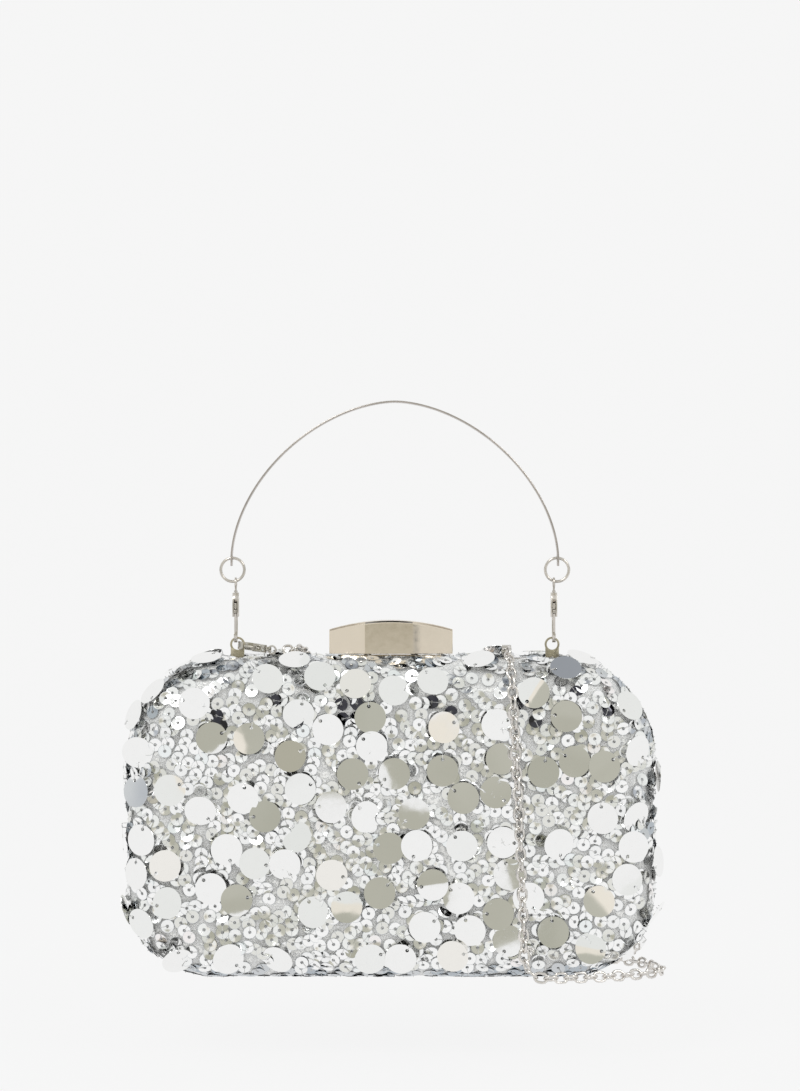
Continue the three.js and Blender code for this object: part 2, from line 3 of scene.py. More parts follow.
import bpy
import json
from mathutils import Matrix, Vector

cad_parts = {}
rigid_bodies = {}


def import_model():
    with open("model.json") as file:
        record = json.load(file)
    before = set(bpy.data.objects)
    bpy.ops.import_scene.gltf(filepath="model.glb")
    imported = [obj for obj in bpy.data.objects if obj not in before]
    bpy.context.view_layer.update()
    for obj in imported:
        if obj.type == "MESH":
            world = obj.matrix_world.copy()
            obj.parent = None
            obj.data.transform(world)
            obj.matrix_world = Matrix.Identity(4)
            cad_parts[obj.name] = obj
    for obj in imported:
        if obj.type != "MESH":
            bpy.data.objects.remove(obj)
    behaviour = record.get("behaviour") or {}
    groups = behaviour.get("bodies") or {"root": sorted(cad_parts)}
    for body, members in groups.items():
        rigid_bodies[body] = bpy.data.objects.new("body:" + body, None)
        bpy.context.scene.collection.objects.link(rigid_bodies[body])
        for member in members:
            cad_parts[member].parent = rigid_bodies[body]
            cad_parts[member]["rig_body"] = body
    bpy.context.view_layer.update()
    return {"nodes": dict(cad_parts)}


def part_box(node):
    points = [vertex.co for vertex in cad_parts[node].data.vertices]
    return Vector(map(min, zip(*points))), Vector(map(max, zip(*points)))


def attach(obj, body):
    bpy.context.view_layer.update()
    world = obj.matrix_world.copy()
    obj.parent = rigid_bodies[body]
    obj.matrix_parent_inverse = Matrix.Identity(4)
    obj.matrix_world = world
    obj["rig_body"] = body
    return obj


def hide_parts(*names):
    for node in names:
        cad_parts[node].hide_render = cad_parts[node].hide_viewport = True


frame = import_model()

import json
import math
import random

import bmesh
import bpy
import numpy as np
from mathutils import Vector
from mathutils.geometry import delaunay_2d_cdt

MM = 0.001  # shapes are worked out in millimetres and written in metres


def box_mm(node):
    low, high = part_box(node)
    return np.array(low) / MM, np.array(high) / MM


# ---- driving sizes, in millimetres ----
COVER_LOW, COVER_HIGH = box_mm("front_cover")
HALF_WIDTH = float(COVER_HIGH[0])
HEIGHT = float(COVER_HIGH[2])
HALF_DEPTH = float(-COVER_LOW[1])
TOP_CORNER = 33
BOTTOM_CORNER = 29
SIDE_WALL = 10
EDGE_RADIUS = 13
FACE_DOME = 0.8
FABRIC_INSET = 0.45  # the fabric lies this far inside the sequins' outer surface
COVER = 0.8  # thickness, as are the next two
SHELL = 1.5
LINING = 0.6
CLEARANCE = 0.3
FRAME_LIP = 0.8
FRAME_REACH = 5.3
SEAM_GAP = 0.4
LIP_DEPTH = 3.0
WEB_DEPTH = 1.5
HINGE_X = 38
HINGE_NOTCH = 12.6  # half the notch's length
HANDLE_Y = 0.85
HANDLE_SIDE = 1.3  # the tabs and handle stand this far to the right of the case's middle
HANDLE_FULLNESS = 1.77  # 2 would be half an ellipse
TAB_X = 53.5
STRAP_CLAWS = {  # heel (x, z), slope of the middle line in degrees, stretch sideways and upward
    "left": ((-51.5, 111.1), 8, 1, 1.45),
    "rim": ((39, 108), 0, 1.7, 0.7),
}
CLASP_ZONE_LOW = 98  # the clasp, the tabs and the claws are all above this height

CAMERA_HEIGHT = 145
CAMERA_DISTANCE = 975
CAMERA_SIDE = 3.06
VIEW_HEIGHT = 370.9
FLOOR_DROP = 27  # the studio floor is set this low, so that the opened front half has room
BACKDROP_GLOW = 0.865  # makes the floor and wall almost evenly bright
ROOM_WHITE = (0.85, 0.86, 0.845, 1)
DIM_PANEL = ((0.47, 0.465, 0.395, 1), (0.52, 0.515, 0.445, 1))
PANEL_CREAM, PANEL_SLATE = (0.88, 0.83, 0.74, 1), (0.12, 0.15, 0.18, 1)
PANEL_HALF = (0.33, 0.35)  # of the dim panel, as parts of a unit direction
PANEL_TURN = (0.94, 0.34)  # cosine and sine of the panel's lean
PANEL_EDGING = 0.035
OVERHEAD, ZENITH, ASIDE = (0.32, 0.34, 0.37, 1), (0.03, 0.03, 0.035, 1), (0.45, 0.48, 0.52, 1)

DISC_RADIUS = 5.25
DISC_SPACING = 9.3
DISC_COUNT = 94
RIM_SHADE_TONE = 0.87  # of the painted shade that outlines the ring round a sequin and its hole
HOLE = 0.62  # radius of a disc's hole
HOLE_OUT = 3.75  # how far the hole is from the disc's middle
CUP_RADIUS = 2.3
CUP_STEP = 2.75
CUP_GAP = 3.25
CUP_COUNT = 1800
SILVER_TONES = 0.86  # tones of cups below this are silver, and those above are dark: painted shade, with black cups at the very top
# the range of painted shade and painted dark reflection given to cups round the case's edges and along
# its bottom
PAINTED_SHADE_TONES = (0.87, 0.98)
BLACK_TONE = 0.995

LINK_LENGTH = 5.3
LINK_WIDTH = 4.1
LINK_WIRE = 0.96
LINK_PITCH = LINK_LENGTH - 2 * LINK_WIRE

# ---- the strap's route, in metres, as in the CAD source ----
BACK_ROUTE = [
    (-0.0363, 0.0012, 0.1093), (-0.0337, 0.0034, 0.1094), (-0.0315, 0.007, 0.1093),
    (-0.0302, 0.0115, 0.109), (-0.0295, 0.0176, 0.107), (-0.0292, 0.0228, 0.1016),
    (-0.0289, 0.0252, 0.094), (-0.0286, 0.0253, 0.08), (-0.0282, 0.0253, 0.06),
    (-0.0279, 0.0253, 0.04), (-0.0277, 0.0253, 0.02), (-0.0277, 0.0257, 0.011),
    (-0.0268, 0.0269, 0.005), (-0.024, 0.0291, 0.0029), (-0.0208, 0.0304, 0.0026),
]
TAIL_ROUTE = [
    (0.0376, 0.031, 0.0054), (0.042, 0.0307, 0.0042), (0.049, 0.03, 0.0024),
    (0.056, 0.0289, 0.0019), (0.064, 0.0266, 0.0019), (0.072, 0.0228, 0.0019),
    (0.079, 0.0175, 0.0019), (0.0843, 0.0116, 0.0019), (0.0876, 0.0062, 0.0019),
    (0.0889, 0.001, 0.0019),
]
FRONT_ROUTE = [
    (0.0391, -0.014, 0.11), (0.0394, -0.0172, 0.1084), (0.0398, -0.021, 0.1052),
    (0.0402, -0.024, 0.1004), (0.0405, -0.0253, 0.094), (0.0412, -0.0253, 0.08),
    (0.042, -0.0253, 0.064), (0.0428, -0.0253, 0.048), (0.0435, -0.0253, 0.032),
    (0.044, -0.0254, 0.016), (0.0443, -0.0258, 0.008), (0.0458, -0.0265, 0.0036),
    (0.049, -0.0269, 0.002), (0.056, -0.0264, 0.0019), (0.065, -0.0246, 0.0019),
    (0.074, -0.0216, 0.0019), (0.083, -0.0174, 0.0019), (0.0892, -0.0124, 0.0019),
    (0.0913, -0.0076, 0.0019), (0.0907, -0.0038, 0.0019), (0.089, -0.001, 0.0019),
]
HANK_CENTRE = (8, 46)
HANK_STRAIGHT = 40
HANK_OUTER = 14.8
HANK_INNER = 11
HANK_LAYERS = (2.6, 6.2)  # heights of the two layers' centre lines


# ---- camera, stage and light ----
def camera():
    data = bpy.data.cameras.new("camera")
    data.sensor_width = 36
    data.lens = 36 * CAMERA_DISTANCE / VIEW_HEIGHT
    data.clip_start = 0.05
    data.clip_end = 20
    eye = bpy.data.objects.new("camera", data)
    eye.location = Vector((CAMERA_SIDE, -CAMERA_DISTANCE, CAMERA_HEIGHT)) * MM
    eye.rotation_euler = (math.pi / 2, 0, 0)
    bpy.context.collection.objects.link(eye)
    bpy.context.scene.camera = eye


class NodeTree:
    """A material's or world's node tree, with short ways to add the nodes used here."""

    def __init__(self, owner):
        owner.use_nodes = True
        self.nodes, self.links = owner.node_tree.nodes, owner.node_tree.links

    def feed(self, socket, value):
        if isinstance(value, (int, float, tuple)):
            socket.default_value = value
        else:
            self.links.new(value, socket)

    def add(self, kind, options, inputs):
        """A new node with those options set and those inputs fed."""
        node = self.nodes.new(kind)
        for name, value in options.items():
            setattr(node, name, value)
        self.fill(node, inputs)
        return node

    def fill(self, node, inputs):
        for name, value in inputs.items():
            self.feed(node.inputs[name], value)

    def math(self, operation, *values):
        return self.add("ShaderNodeMath", {"operation": operation}, dict(enumerate(values))).outputs[0]

    def mix(self, factor, a, b):
        inputs = {"Factor": factor, "A": a, "B": b}
        return self.add("ShaderNodeMix", {"data_type": "RGBA"}, inputs).outputs["Result"]

    def smooth_range(self, value, low, high):
        inputs = {"Value": value, "From Min": low, "From Max": high}
        return self.add("ShaderNodeMapRange", {"interpolation_type": "SMOOTHSTEP"}, inputs).outputs[0]

    def spread(self, noise, low, high):
        """Stretches a noise's middle values over low to high."""
        inputs = {"Value": noise, "From Min": 0.3, "From Max": 0.7, "To Min": low, "To Max": high}
        return self.add("ShaderNodeMapRange", {}, inputs).outputs[0]

    def coords(self, kind="Object"):
        return self.nodes.new("ShaderNodeTexCoord").outputs[kind]

    def noise(self, scale, detail=2.0, kind="Object"):
        inputs = {"Vector": self.coords(kind), "Scale": scale, "Detail": detail}
        return self.add("ShaderNodeTexNoise", {}, inputs).outputs["Fac"]

    def bump(self, shader, height, distance, strength=1.0):
        inputs = {"Distance": distance, "Strength": strength, "Height": height}
        bump = self.add("ShaderNodeBump", {}, inputs)
        self.feed(shader.inputs["Normal"], bump.outputs["Normal"])


def new_material(name):
    material = bpy.data.materials.new(name)
    tree = NodeTree(material)
    return material, tree, tree.nodes["Principled BSDF"]


def stage():
    """A floor that runs back into a wall in one curve, almost evenly bright."""
    half, depth, wall, bend = 3.0, 1.6, 3.0, 0.6
    profile = [(-3.0, 0.0), (depth - bend, 0.0)]
    for i in range(1, 13):
        a = math.pi / 2 * i / 12
        profile.append((depth - bend + bend * math.sin(a), bend - bend * math.cos(a)))
    profile.append((depth, wall))
    verts = [(x, y, z - FLOOR_DROP * MM) for y, z in profile for x in (-half, half)]
    faces = [(2 * i, 2 * i + 1, 2 * i + 3, 2 * i + 2) for i in range(len(profile) - 1)]
    mesh = bpy.data.meshes.new("backdrop")
    mesh.from_pydata(verts, [], faces)
    mesh.polygons.foreach_set("use_smooth", [True] * len(faces))
    floor = bpy.data.objects.new("backdrop", mesh)
    bpy.context.collection.objects.link(floor)
    material, tree, shader = new_material("backdrop_paper")
    tree.fill(shader, {"Base Color": (0.06, 0.06, 0.06, 1), "Roughness": 0.9, "Specular IOR Level": 0,
                       "Emission Color": (1, 1, 1, 1), "Emission Strength": BACKDROP_GLOW})
    mesh.materials.append(material)


def area_light(name, place, aim, size, power):
    data = bpy.data.lights.new(name, "AREA")
    data.shape = "RECTANGLE"
    data.size, data.size_y = size
    data.energy = power
    lamp = bpy.data.objects.new(name, data)
    lamp.location = place
    lamp.rotation_euler = (Vector(aim) - Vector(place)).to_track_quat("-Z", "Y").to_euler()
    bpy.context.collection.objects.link(lamp)


def studio_world():
    """White all round, but for a leaning dim panel where the camera stands, edged with cream and
    slate; dimmer at the far sides and overhead, and dark at the zenith."""
    world = bpy.data.worlds.new("studio")
    bpy.context.scene.world = world
    tree = NodeTree(world)
    parts = tree.nodes.new("ShaderNodeSeparateXYZ")
    tree.feed(parts.inputs[0], tree.coords("Generated"))
    x, y, z = parts.outputs
    front = tree.math("LESS_THAN", y, 0)
    cosine, sine = PANEL_TURN
    across = tree.math("MULTIPLY_ADD", z, sine, tree.math("MULTIPLY", x, cosine))
    up = tree.math("MULTIPLY_ADD", z, cosine, tree.math("MULTIPLY", x, -sine))

    def panel(grow, soft):
        inside = front
        for way, half_size in ((across, PANEL_HALF[0] + grow), (up, PANEL_HALF[1] + grow)):
            share = tree.smooth_range(tree.math("ABSOLUTE", way), half_size + soft, half_size)
            inside = tree.math("MULTIPLY", inside, share)
        return inside

    patches = tree.noise(2.6, 1, "Generated")
    dim = tree.mix(tree.smooth_range(patches, 0.35, 0.65), *DIM_PANEL)
    edging = tree.mix(tree.smooth_range(up, -0.05, -0.12), PANEL_CREAM, PANEL_SLATE)
    room = tree.mix(panel(PANEL_EDGING, 0.008), ROOM_WHITE, edging)
    room = tree.mix(panel(0, 0.012), room, dim)
    room = tree.mix(tree.smooth_range(z, 0.95, 0.985), room, OVERHEAD)
    room = tree.mix(tree.smooth_range(z, 0.993, 0.998), room, ZENITH)
    room = tree.mix(tree.smooth_range(tree.math("ABSOLUTE", x), 0.94, 0.99), room, ASIDE)
    tree.fill(tree.nodes["Background"], {"Color": room, "Strength": 1.0})


def studio():
    stage()
    studio_world()
    area_light("key", (-0.5, -0.9, 1.1), (0, 0, 0.06), (0.5, 0.5), 4.5)
    area_light("fill", (0.8, -0.7, 0.8), (0, 0, 0.06), (0.4, 0.4), 2.5)
    scene = bpy.context.scene
    scene.view_settings.view_transform = "Standard"
    scene.view_settings.look = "None"


# ---- mesh helpers, all taking millimetres ----
def turned(radius, angle):
    return radius * math.cos(angle), radius * math.sin(angle)


def dress(obj, material, body, replaces=()):
    obj.data.materials.clear()
    obj.data.materials.append(material)
    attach(obj, body)
    if replaces:
        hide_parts(*replaces)
    return obj


def bare(name, verts, faces):
    mesh = bpy.data.meshes.new(name)
    mesh.from_pydata((np.asarray(verts, float) * MM).tolist(), [], faces)
    obj = bpy.data.objects.new(name, mesh)
    bpy.context.collection.objects.link(obj)
    return obj


def shade(obj, angle=None):
    """Smooth shading, kept sharp where faces meet at more than angle degrees."""
    mesh = obj.data
    mesh.polygons.foreach_set("use_smooth", [True] * len(mesh.polygons))
    if angle is not None:
        mesh.set_sharp_from_angle(angle=math.radians(angle))


def outward(obj):
    work = bmesh.new()
    work.from_mesh(obj.data)
    bmesh.ops.recalc_face_normals(work, faces=work.faces)
    work.to_mesh(obj.data)
    work.free()


def settle(obj):
    """Turns the object's modifiers into plain mesh."""
    bpy.context.view_layer.update()
    graph = bpy.context.evaluated_depsgraph_get()
    mesh = bpy.data.meshes.new_from_object(obj.evaluated_get(graph))
    obj.modifiers.clear()
    old = obj.data
    obj.data = mesh
    bpy.data.meshes.remove(old)
    mesh.name = obj.name


def box_shape(name, xs, ys, zs):
    verts = [(x, y, z) for x in xs for y in ys for z in zs]
    faces = [(0, 1, 3, 2), (4, 6, 7, 5), (0, 4, 5, 1), (2, 3, 7, 6), (0, 2, 6, 4), (1, 5, 7, 3)]
    return bare(name, verts, faces)


def cut(obj, cutters):
    for cutter in cutters:
        outward(cutter)
        modifier = obj.modifiers.new("cut", "BOOLEAN")
        modifier.operation = "DIFFERENCE"
        modifier.solver = "EXACT"
        modifier.object = cutter
    settle(obj)
    for cutter in cutters:
        bpy.data.objects.remove(cutter)


def bevel(obj, width, angle=30, segments=2):
    modifier = obj.modifiers.new("bevel", "BEVEL")
    modifier.width = width * MM
    modifier.segments = segments
    modifier.limit_method = "ANGLE"
    modifier.angle_limit = math.radians(angle)
    modifier.use_clamp_overlap = True
    settle(obj)


def softened(node, material, width, angle=30):
    """A copy of a CAD metal part with its sharp edges eased."""
    source = frame["nodes"][node]
    work = bmesh.new()
    work.from_mesh(source.data)
    bmesh.ops.remove_doubles(work, verts=work.verts, dist=0.004 * MM)
    bmesh.ops.dissolve_limit(work, angle_limit=math.radians(1), verts=work.verts, edges=work.edges)
    mesh = bpy.data.meshes.new(node + "_eased")
    work.to_mesh(mesh)
    work.free()
    obj = bpy.data.objects.new(node + "_eased", mesh)
    bpy.context.collection.objects.link(obj)
    bevel(obj, width, angle)
    shade(obj, 40)
    return dress(obj, material, source["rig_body"], (node,))


def reshape(obj, heel, slope, broad, tall):
    """Stretches a claw about its sloping middle line, sideways and upward."""
    fall = math.tan(math.radians(slope))
    for vertex in obj.data.vertices:
        x, _, z = vertex.co / MM
        middle = heel[1] - fall * (x - heel[0])
        vertex.co.z = (middle + (z - middle) * tall) * MM
        vertex.co.x = (heel[0] + (x - heel[0]) * broad) * MM


class Batch:
    """Collects many small shapes into one mesh, with one number per face for its tone."""

    def __init__(self):
        self.verts, self.faces, self.tones, self.count = [], [], [], 0

    def add(self, verts, faces, tone=0.0, tones=None):
        self.verts.append(np.asarray(verts, float))
        self.faces.extend(tuple(i + self.count for i in face) for face in faces)
        self.tones.extend([tone] * len(faces) if tones is None else tones)
        self.count += len(verts)

    def piece(self, name, material, body, slot, replaces=(), angle=None):
        obj = bare(name, np.vstack(self.verts), self.faces)
        tone = obj.data.attributes.new("tone", "FLOAT", "FACE")
        tone.data.foreach_set("value", self.tones)
        shade(obj, angle)
        return dress(obj, material, body, replaces)


def tube_mesh(points, radius, sides=6, closed=False):
    """Vertices and faces of a round tube along points, capped unless closed."""
    points = np.asarray(points, float)
    count = len(points)
    ahead = np.roll(points, -1, 0) - np.roll(points, 1, 0)
    if not closed:
        ahead[0], ahead[-1] = points[1] - points[0], points[-1] - points[-2]
    ahead /= np.linalg.norm(ahead, axis=1)[:, None]
    side = np.cross(ahead[0], (0.31, 0.17, 0.93))
    verts = []
    for i in range(count):
        side = side - ahead[i] * side.dot(ahead[i])
        side /= np.linalg.norm(side)
        up = np.cross(ahead[i], side)
        for k in range(sides):
            a = 2 * math.pi * k / sides
            verts.append(points[i] + radius * (math.cos(a) * side + math.sin(a) * up))
    faces = []
    for i in range(count if closed else count - 1):
        j = (i + 1) % count
        for k in range(sides):
            m = (k + 1) % sides
            faces.append((i * sides + k, i * sides + m, j * sides + m, j * sides + k))
    if not closed:
        faces.append(tuple(reversed(range(sides))))
        faces.append(tuple((count - 1) * sides + k for k in range(sides)))
    return verts, faces


# ---- paths ----
def between(a, b, ta, tb, t):
    return ((tb - t) * a + (t - ta) * b) / (tb - ta)


def smooth_path(points):
    """Centripetal Catmull-Rom through points."""
    p = np.asarray(points, float)
    p = np.vstack([2 * p[0] - p[1], p, 2 * p[-1] - p[-2]])
    out = []
    for i in range(1, len(p) - 2):
        q = p[i - 1:i + 3]
        k = np.concatenate([[0], np.cumsum(np.linalg.norm(np.diff(q, axis=0), axis=1) ** 0.5)])
        for t in np.linspace(k[1], k[2], 12, endpoint=False):
            a = [between(q[j], q[j + 1], k[j], k[j + 1], t) for j in range(3)]
            b = [between(a[j], a[j + 1], k[j], k[j + 2], t) for j in range(2)]
            out.append(between(b[0], b[1], k[1], k[2], t))
    out.append(p[-2])
    return np.array(out)


def resample(points, spacing):
    steps = np.linalg.norm(np.diff(points, axis=0), axis=1)
    along = np.concatenate([[0], np.cumsum(steps)])
    wanted = np.linspace(0, along[-1], max(2, round(along[-1] / spacing)) + 1)
    return np.column_stack([np.interp(wanted, along, points[:, k]) for k in range(3)])


def path_length(points):
    return float(np.linalg.norm(np.diff(points, axis=0), axis=1).sum())


# ---- materials ----
def metal(name, colour, dull, roughness, grain=900, dent=0.00001):
    """Plated metal: its colour drifts to dull in patches, with fine polishing marks."""
    material, tree, shader = new_material(name)
    patches = tree.noise(120)
    fine = tree.noise(grain, 4)
    tree.fill(shader, {"Base Color": tree.mix(tree.spread(patches, 0, 1), (*colour, 1), (*dull, 1)),
                       "Roughness": tree.spread(fine, roughness * 0.75, roughness * 1.35),
                       "Metallic": 1})
    tree.bump(shader, fine, dent, 0.5)
    return material


def sequin_film(name, roughness, stops, ripple):
    """Metallised film, tinted by the face attribute called tone: a stop is a tone and the
    colour that starts there."""
    material, tree, shader = new_material(name)
    tone = tree.add("ShaderNodeAttribute", {"attribute_name": "tone"}, {})
    ramp = tree.add("ShaderNodeValToRGB", {}, {"Fac": tone.outputs["Fac"]})
    ramp.color_ramp.interpolation = "CONSTANT"
    elements = ramp.color_ramp.elements
    for k, (position, colour) in enumerate(stops):
        element = elements[k] if k < 2 else elements.new(position)
        element.position = position
        element.color = (*colour, 1)
    rub = tree.noise(500, 3)
    worn = tree.mix(tree.spread(rub, 0, 0.05), ramp.outputs["Color"], (0.7, 0.7, 0.68, 1))
    tree.fill(shader, {"Base Color": worn,
                       "Roughness": tree.spread(rub, roughness * 0.7, roughness * 1.4),
                       "Metallic": 1})
    tree.bump(shader, tree.noise(160, 1), ripple)
    return material


def mesh_fabric():
    """Silver net laid over grey satin."""
    material, tree, shader = new_material("silver_net")
    cells = tree.add("ShaderNodeTexVoronoi", {"feature": "DISTANCE_TO_EDGE"},
                     {"Vector": tree.coords(), "Scale": 900, "Randomness": 0.45})
    thread = tree.smooth_range(cells.outputs["Distance"], 0.16, 0.05)
    patches = tree.noise(90)
    ground = tree.mix(tree.spread(patches, 0, 1), (0.64, 0.645, 0.65, 1), (0.76, 0.765, 0.765, 1))
    tree.fill(shader, {"Base Color": tree.mix(thread, ground, (0.86, 0.86, 0.85, 1)),
                       "Roughness": tree.spread(patches, 0.35, 0.5),
                       "Metallic": 0.15})
    tree.bump(shader, thread, 0.00018)
    return material


def satin():
    """The lining: a fine diagonal weave with faint creases."""
    material, tree, shader = new_material("grey_satin")
    weave = tree.add("ShaderNodeTexWave", {"wave_type": "BANDS", "bands_direction": "DIAGONAL"},
                     {"Vector": tree.coords(), "Scale": 900, "Distortion": 1.2})
    creases = tree.noise(70, 4)
    tint = tree.mix(tree.spread(creases, 0, 1), (0.50, 0.50, 0.52, 1), (0.56, 0.56, 0.58, 1))
    tree.fill(shader, {"Base Color": tint, "Roughness": tree.spread(creases, 0.38, 0.55),
                       "Sheen Weight": 0.4})
    tree.bump(shader, tree.math("MULTIPLY_ADD", weave.outputs["Fac"], 0.06, creases), 0.0008, 0.8)
    return material


def matte(name, colour, other, roughness, scale, dent):
    material, tree, shader = new_material(name)
    grain = tree.noise(scale, 3)
    tree.fill(shader, {"Base Color": tree.mix(tree.spread(grain, 0, 1), (*colour, 1), (*other, 1)),
                       "Roughness": tree.spread(grain, roughness * 0.85, roughness * 1.1)})
    tree.bump(shader, grain, dent)
    return material


# ---- the chain strap ----
def link_shape():
    """One oval wire link lying flat, its length along X and its width along Y."""
    straight = (LINK_LENGTH - LINK_WIDTH) / 2
    radius = (LINK_WIDTH - LINK_WIRE) / 2
    line = []
    for end in (1, -1):
        for i in range(7):
            a = -math.pi / 2 + math.pi * i / 6
            line.append((end * (straight + radius * math.cos(a)), end * radius * math.sin(a), 0))
    return tube_mesh(line, LINK_WIRE / 2, 6, closed=True)


def chain(name, route, material, body, replaces, rng):
    """Links threaded along the route, each turned about a quarter from the one before."""
    count = round(path_length(route) / LINK_PITCH)
    centres = resample(route, path_length(route) / count)
    links = Batch()
    verts, faces = link_shape()
    verts = np.asarray(verts)
    for i in range(count):
        here, there = centres[i], centres[i + 1]
        ahead = (there - here) / np.linalg.norm(there - here)
        side = np.cross(ahead, (0, 0, 1.0)) if abs(ahead[2]) < 0.9 else np.cross(ahead, (0, 1.0, 0))
        side /= np.linalg.norm(side)
        up = np.cross(side, ahead)
        turn = math.radians((18 if i % 2 else 108) + rng.uniform(-13, 13))
        across = math.cos(turn) * side + math.sin(turn) * up
        normal = np.cross(ahead, across)
        placed = verts @ np.array([ahead, across, normal]) + (here + there) / 2
        placed[:, 2] = np.maximum(placed[:, 2], 0.05)
        links.add(placed, faces, rng.random())
    return links.piece(name, material, body, "silver_metal", replaces)


def hank_line():
    """Three and a quarter turns round a flat oval, the later ones over the first."""
    x, y = HANK_CENTRE
    half = HANK_STRAIGHT / 2
    low, high = HANK_LAYERS
    quarter_turn = math.pi / 2

    def ease(turn, middle, a, b):
        """From a to b over a fifth of a turn."""
        t = min(max((turn - middle + 0.1) / 0.2, 0), 1)
        return a + (b - a) * t * t * (3 - 2 * t)

    points = []
    for step in range(3 * 32 + 8):
        turn, quarter, t = step / 32, step // 8 % 4, step % 8 / 8
        along = (-half + HANK_STRAIGHT * t, half, half - HANK_STRAIGHT * t, -half)[quarter]
        angle = quarter_turn * (-1, 2 * t - 1, 1, 2 * t + 1)[quarter]
        radius = ease(turn, 1, HANK_OUTER, HANK_INNER) + ease(turn, 3, 0, HANK_OUTER - HANK_INNER)
        points.append((x + along + radius * math.cos(angle), y + radius * math.sin(angle),
                       ease(turn, 2, low, high)))
    points.append((x + half, y - HANK_OUTER, high))
    return points


def strap_claw(name, silver, cast):
    """The claw at one end of the strap; gives its body and ring."""
    lever = softened(f"strap_lever_{name}", cast, 0.1)
    claw = softened(f"strap_clip_{name}", cast, 0.12)
    for part in (lever, claw):
        reshape(part, *STRAP_CLAWS[name])
    return [claw, softened(f"strap_ring_{name}", silver, 0.02, 80)]


def in_mm(route):
    return [tuple(c / MM for c in point) for point in route]


def strap(silver, cast, rng):
    """The strap's two lengths of chain, with the tie and the two claws."""
    back = resample(smooth_path(in_mm(BACK_ROUTE) + hank_line() + in_mm(TAIL_ROUTE)), 2.0)
    front = resample(smooth_path(in_mm(FRONT_ROUTE)), 2.0)
    back_chain = chain("strap_chain_back", back, silver, "back_half",
                       ("chain_back", "chain_hank", "chain_tail"), rng)
    front_chain = chain("strap_chain_front", front, silver, "front_half", ("chain_front",), rng)
    tie = hank_tie()
    [tie] + strap_claw("left", silver, cast)
    strap_claw("rim", silver, cast)


def hank_tie():
    """Cotton thread wound round the folded runs, with its two ends left short."""
    x = HANK_CENTRE[0]
    y0, y1, z0, z1, soft = 54.7, 62.9, 0.45, 8.35, 1.6  # the rounded box that the thread goes round
    corners = ((y1 - soft, z1 - soft), (y0 + soft, z1 - soft), (y0 + soft, z0 + soft),
               (y1 - soft, z0 + soft))
    wraps = Batch()
    for k in range(6):
        wx = x - 1.6 + 0.64 * k
        loop = []
        for quarter, (cy, cz) in enumerate(corners):
            for i in range(5):
                a = math.radians(90 * quarter + 90 * i / 4)
                y, z = turned(soft, a)
                loop.append((wx + 0.12 * math.sin(3 * a + k), cy + y, cz + z))
        wraps.add(*tube_mesh(loop, 0.33, 6, closed=True))
    for side in (-1, 1):
        end = [(x, 58, z1 + 0.3), (x + side * 1.2, 57.4, z1 + 0.9), (x + side * 2.2, 56, z1 + 0.5),
               (x + side * 2.8, 54.2, z1 + 0.1)]
        wraps.add(*tube_mesh(smooth_path(end), 0.3, 6))
    thread = matte("cotton_thread", (0.80, 0.78, 0.72), (0.88, 0.87, 0.83), 0.8, 2500, 0.00008)
    return wraps.piece("strap_hank_tie", thread, "back_half", "tie_thread", ("hank_tie",))


# ---- nested skins on one rounded outline ----
CORNER_STEPS = 22


def outline(inset):
    """The case outline seen from the front, moved inward by inset, with points along its sides."""
    corners = []
    for k, (x_sign, z_centre, radius) in enumerate((
            (1, HEIGHT - TOP_CORNER, TOP_CORNER), (-1, HEIGHT - TOP_CORNER, TOP_CORNER),
            (-1, BOTTOM_CORNER, BOTTOM_CORNER), (1, BOTTOM_CORNER, BOTTOM_CORNER))):
        corner = []
        for i in range(CORNER_STEPS + 1):
            x, z = turned(radius - inset, math.radians(90 * k + 90 * i / CORNER_STEPS))
            corner.append((x_sign * (HALF_WIDTH - radius) + x, z_centre + z))
        corners.append(corner)
    points = []
    for k, corner in enumerate(corners):
        points.extend(corner)
        a, b = np.array(corner[-1]), np.array(corners[(k + 1) % 4][0])
        steps = 12 if k % 2 == 0 else 6
        points.extend(tuple(a + (b - a) * i / steps) for i in range(1, steps))
    return points


def ring(inset, y, shrink, side):
    middle = HEIGHT / 2
    return [(x * (1 - shrink), side * y, middle + (z - middle) * (1 - shrink)) for x, z in outline(inset)]


def half_rings(inset, edge, side):
    """Rings of a half's surface, sunk by inset all over, from its open edge to its face."""
    rings = [ring(inset, edge, 0, side), ring(inset, (edge + SIDE_WALL) / 2, 0, side)]
    depth = HALF_DEPTH - FACE_DOME - SIDE_WALL - inset
    for i in range(13):
        a = math.pi / 2 * i / 12
        in_by = EDGE_RADIUS - (EDGE_RADIUS - inset) * math.cos(a)
        rings.append(ring(in_by, SIDE_WALL + depth * math.sin(a), 0, side))
    for shrink in (0.06, 0.15, 0.3, 0.45, 0.6, 0.75, 0.88):
        y = HALF_DEPTH - FACE_DOME * (1 - shrink) ** 2 - inset
        rings.append(ring(EDGE_RADIUS, y, shrink, side))
    return rings


def loft(name, rings, closed):
    """A skin through rings of points; open lofts are capped across their end rings."""
    count = len(rings[0])
    verts = [p for points in rings for p in points]
    faces = []
    for k in range(len(rings) if closed else len(rings) - 1):
        m = (k + 1) % len(rings)
        for i in range(count):
            j = (i + 1) % count
            faces.append((k * count + i, k * count + j, m * count + j, m * count + i))
    if not closed:
        faces.append(tuple(range(count)))
        faces.append(tuple((len(rings) - 1) * count + i for i in range(count)))
    obj = bare(name, verts, faces)
    outward(obj)
    return obj


def skin(name, inset, thickness, edge, side):
    inner = list(reversed(half_rings(inset + thickness, edge, side)))
    return loft(name, inner + half_rings(inset, edge, side), False)


def sided(side, low, high):
    return (low, high) if side > 0 else (-high, -low)


